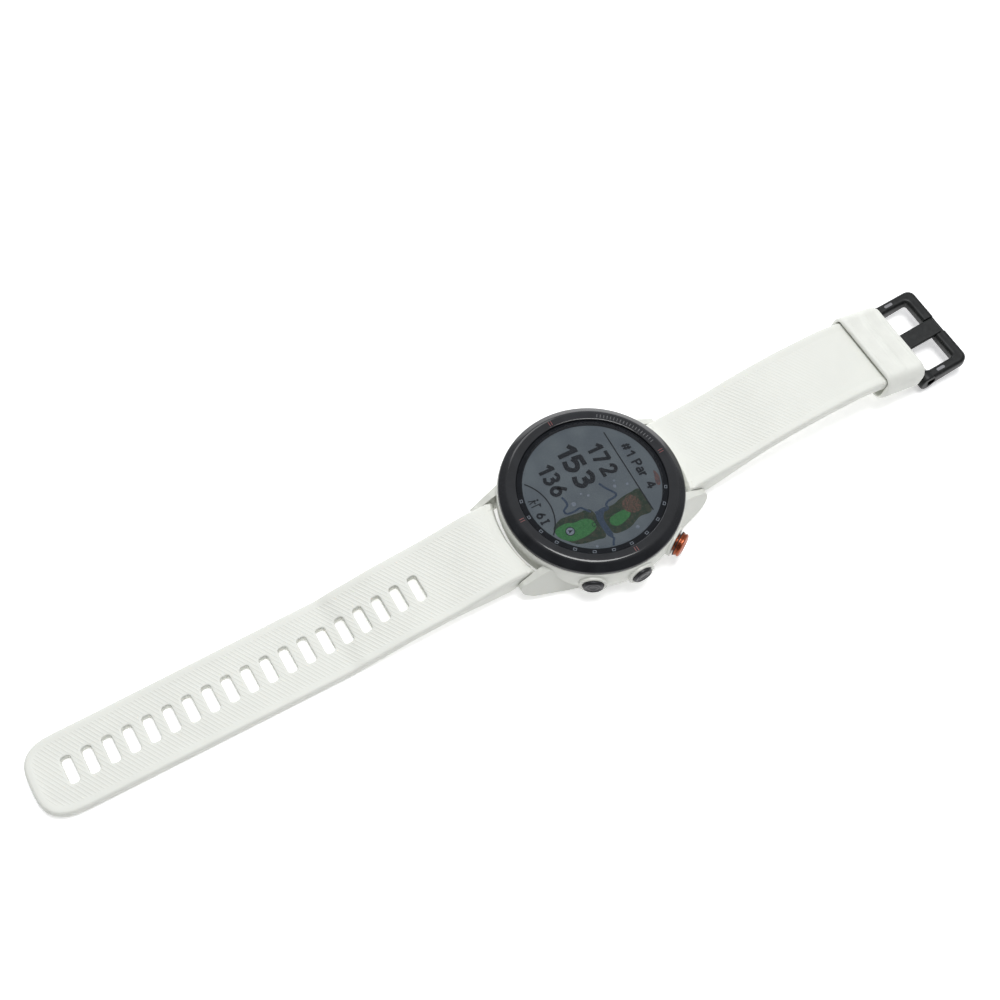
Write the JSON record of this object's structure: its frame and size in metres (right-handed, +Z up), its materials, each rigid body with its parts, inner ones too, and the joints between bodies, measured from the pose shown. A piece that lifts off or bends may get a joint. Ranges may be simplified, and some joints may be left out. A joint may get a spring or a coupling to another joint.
{
  "type": "golf gps watch",
  "caption": "Round golf GPS watch with a white case, black bezel ring, colour display, side buttons and a two-part silicone strap with pin buckle and sliding loop.",
  "frame": {"origin": "centre of the flat face on the back of the case that the watch rests on", "axes": "+X towards 3 o'clock and the buttons, +Y towards 12 o'clock and the buckle, +Z up through the display"},
  "size_m": [0.0484, 0.2599, 0.0148],
  "materials": {
    "white_case": "satin moulded polymer",
    "black_ceramic": "polished black ceramic",
    "cover_glass": "polished",
    "black_seal": "matt",
    "display": "colour display",
    "black_plastic": "matt",
    "flex_amber": "polyimide",
    "board_green": "solder mask",
    "tinned_steel": "tinned",
    "antenna_ceramic": "ceramic",
    "battery_foil": "foil pouch",
    "foam": "foam",
    "steel": "fine",
    "gold": "gold plated",
    "led": "lens",
    "sensor_glass": "dark tinted",
    "copper_cap": "copper coloured, brushed",
    "black_cap": "black, brushed",
    "white_strap": "satin silicone, fine diagonal ribs",
    "buckle_black": "black satin"
  },
  "bodies": {
    "case": {"case_body": "white_case", "bezel_ring": "black_ceramic", "lens": "cover_glass", "lens_gasket": "black_seal", "display_panel": "display", "display_carrier": "black_plastic", "display_flex": "flex_amber", "main_board": "board_green", "shield_cans": "tinned_steel", "gps_antenna": "antenna_ceramic", "battery": "battery_foil", "battery_pad": "foam", "vibration_motor": "steel", "tact_switches": "black_plastic", "rear_cover": "black_plastic", "sensor_window": "sensor_glass", "sensor_board": "board_green", "sensor_leds": "led", "rear_gasket": "black_seal", "rear_screws": "steel", "charge_insert": "black_plastic", "charge_contacts": "gold", "lug_bars": "steel"},
    "start": {"start_button": "copper_cap", "start_collar": "black_seal", "start_stem": "steel", "start_oring": "black_seal", "start_clip": "steel", "start_plunger": "black_plastic"},
    "centre": {"centre_button": "black_cap", "centre_stem": "steel", "centre_oring": "black_seal", "centre_clip": "steel", "centre_plunger": "black_plastic"},
    "lower": {"lower_button": "black_cap", "lower_stem": "steel", "lower_oring": "black_seal", "lower_clip": "steel", "lower_plunger": "black_plastic"},
    "long_band": {"long_strap": "white_strap", "long_strap_hook": "steel", "long_strap_latch_spring": "steel"},
    "long_latch": {"long_strap_latch": "steel"},
    "buckle_band": {"buckle_strap": "white_strap", "buckle_strap_hook": "steel", "buckle_strap_latch_spring": "steel", "buckle_pin": "steel"},
    "buckle_latch": {"buckle_strap_latch": "steel"},
    "buckle": {"buckle_frame": "buckle_black"},
    "tongue": {"buckle_tongue": "buckle_black"},
    "loop": {"keeper": "white_strap"}
  },
  "joints": [
    {"name": "start_press", "type": "slide", "parent": "case", "child": "start", "axis": [-0.866, -0.5, 0], "range_m": [0, 0.0005], "stiffness_N_per_m": 4000, "springref_m": -0.0002},
    {"name": "centre_press", "type": "slide", "parent": "case", "child": "centre", "axis": [-1, 0, 0], "range_m": [0, 0.0005], "stiffness_N_per_m": 4000, "springref_m": -0.0002},
    {"name": "lower_press", "type": "slide", "parent": "case", "child": "lower", "axis": [-0.866, 0.5, 0], "range_m": [0, 0.0005], "stiffness_N_per_m": 4000, "springref_m": -0.0002},
    {"name": "long_band_hinge", "type": "hinge", "parent": "case", "child": "long_band", "pos_m": [0, -0.0255, 0.0046], "axis": [1, 0, 0], "range_deg": [-12, 30]},
    {"name": "long_latch_slide", "type": "slide", "parent": "long_band", "child": "long_latch", "axis": [0, -1, 0], "range_m": [0, 0.002], "stiffness_N_per_m": 300, "springref_m": -0.001, "deforming": ["long_strap_latch_spring"]},
    {"name": "buckle_band_hinge", "type": "hinge", "parent": "case", "child": "buckle_band", "pos_m": [0, 0.0255, 0.0046], "axis": [1, 0, 0], "range_deg": [-30, 12]},
    {"name": "buckle_latch_slide", "type": "slide", "parent": "buckle_band", "child": "buckle_latch", "axis": [0, 1, 0], "range_m": [0, 0.002], "stiffness_N_per_m": 300, "springref_m": -0.001, "deforming": ["buckle_strap_latch_spring"]},
    {"name": "buckle_hinge", "type": "hinge", "parent": "buckle_band", "child": "buckle", "pos_m": [0, 0.0984, 0.0033], "axis": [1, 0, 0], "range_deg": [-30, 20]},
    {"name": "tongue_hinge", "type": "hinge", "parent": "buckle", "child": "tongue", "pos_m": [0, 0.0984, 0.0033], "axis": [1, 0, 0], "range_deg": [0, 60]},
    {"name": "keeper_travel", "type": "hinge", "parent": "buckle_band", "child": "loop", "pos_m": [0, 0.0726, -0.0285], "axis": [1, 0, 0], "range_deg": [-0.8, 16]}
  ]
}
